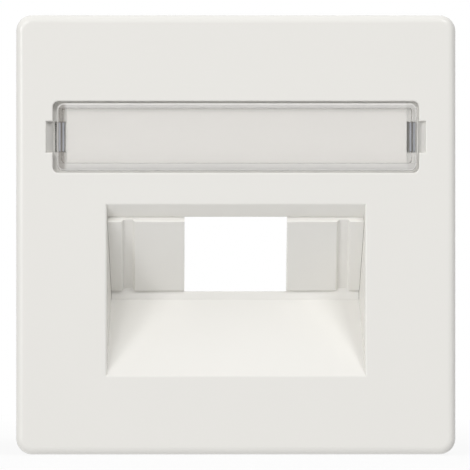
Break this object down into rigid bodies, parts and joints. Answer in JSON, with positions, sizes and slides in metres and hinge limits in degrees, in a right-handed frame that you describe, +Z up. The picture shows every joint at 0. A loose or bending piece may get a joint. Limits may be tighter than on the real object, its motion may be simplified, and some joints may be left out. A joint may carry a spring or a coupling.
{
  "type": "data outlet cover plate",
  "caption": "Square white centre plate for a flush data outlet: slanted recess with an open jack window, and a clear snap-in label window above it.",
  "frame": {"origin": "centre of the part's bounding box, in the plane of the plate's rear rim", "axes": "+X right, +Y into the wall, +Z up, seen from the front"},
  "size_m": [0.07, 0.016, 0.07],
  "materials": {
    "white_plastic": "glossy moulded white plastic",
    "clear_plastic": "clear glossy plastic",
    "label_card": "matt blank card"
  },
  "bodies": {
    "plate": {"cover_plate": "white_plastic", "jack_insert": "white_plastic", "label_strip": "label_card"},
    "label_cover": {"label_window": "clear_plastic"}
  },
  "joints": [
    {"name": "label_window_lift", "type": "slide", "parent": "plate", "child": "label_cover", "axis": [0, -1, 0], "range_m": [0, 0.018]}
  ]
}
